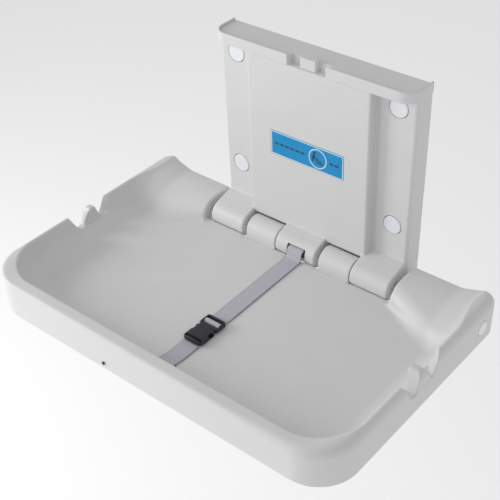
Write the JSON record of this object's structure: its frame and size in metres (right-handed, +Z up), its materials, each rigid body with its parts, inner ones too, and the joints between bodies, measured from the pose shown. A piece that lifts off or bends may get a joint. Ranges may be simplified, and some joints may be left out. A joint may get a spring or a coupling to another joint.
{
  "type": "fold-down baby changing station",
  "caption": "Wall-mounted baby changing station: an oblong moulded tray with bag hooks and a safety belt, folding up on a long hinge against a wall unit with a top ledge.",
  "frame": {"origin": "on the wall plane, level with the hinge axis, midway along the unit", "axes": "+X along the unit to the right as seen from the room, +Y into the wall, +Z up; the opened tray points to -Y"},
  "size_m": [0.8612, 0.5798, 0.467],
  "materials": {
    "moulding": "fine matt texture",
    "ledge_grey": "fine matt texture",
    "cap_white": "satin",
    "label_blue": "printed, satin",
    "steel": "zinc plated",
    "rod_chrome": "polished",
    "gas_tube": "satin black",
    "webbing": "woven",
    "buckle_black": "satin",
    "screw_black": "satin black",
    "nylon": "natural",
    "rubber": "matt"
  },
  "bodies": {
    "wall_unit": {"wall_shell": "moulding", "mounting_plate": "steel", "ledge_plate": "ledge_grey", "label_plate": "label_blue", "screw_cap_lower_left": "cap_white", "wall_screw_lower_left": "steel", "screw_cap_lower_right": "cap_white", "wall_screw_lower_right": "steel", "screw_cap_upper_left": "cap_white", "wall_screw_upper_left": "steel", "screw_cap_upper_right": "cap_white", "wall_screw_upper_right": "steel", "bushing_left_a": "nylon", "bushing_left_b": "nylon", "bushing_centre_a": "nylon", "bushing_centre_b": "nylon", "bushing_right_a": "nylon", "bushing_right_b": "nylon", "gas_spring_tube": "gas_tube", "gas_spring_bracket_upper": "steel", "gas_spring_bracket_lower": "steel", "belt_bar_rear": "steel", "stop_pad_left": "rubber", "stop_pad_right": "rubber"},
    "tray": {"tray_shell": "moulding", "tray_base": "moulding", "base_screw_1": "steel", "base_screw_2": "steel", "base_screw_3": "steel", "base_screw_4": "steel", "base_screw_5": "steel", "base_screw_6": "steel", "hinge_rod": "steel", "hinge_plug_right": "cap_white", "hinge_plug_left": "cap_white", "tray_arm_left": "steel", "tray_arm_right": "steel", "tray_cross_bar": "steel", "crank_arm": "steel", "crank_pin": "steel", "belt_bar_front": "steel", "front_screw": "screw_black", "belt_strap_rear": "webbing", "belt_strap_front": "webbing", "buckle_socket": "buckle_black"},
    "gas_rod": {"gas_spring_rod": "rod_chrome"},
    "buckle_plug_half": {"buckle_plug": "buckle_black"}
  },
  "joints": [
    {"name": "tray_hinge", "type": "hinge", "parent": "wall_unit", "child": "tray", "pos_m": [0, -0.087, 0], "axis": [-1, 0, 0], "range_deg": [0, 90], "deforming": ["belt_strap_rear"]},
    {"name": "gas_rod_slide", "type": "slide", "parent": "wall_unit", "child": "gas_rod", "axis": [0, 0, -1], "range_m": [0, 0.0515]},
    {"name": "buckle_release", "type": "slide", "parent": "tray", "child": "buckle_plug_half", "axis": [0, 1, 0], "range_m": [0, 0.03]}
  ],
  "couplings": [
    {"joint": "gas_rod_slide", "follows": "tray_hinge", "m_per_rad": 0.03277}
  ]
}
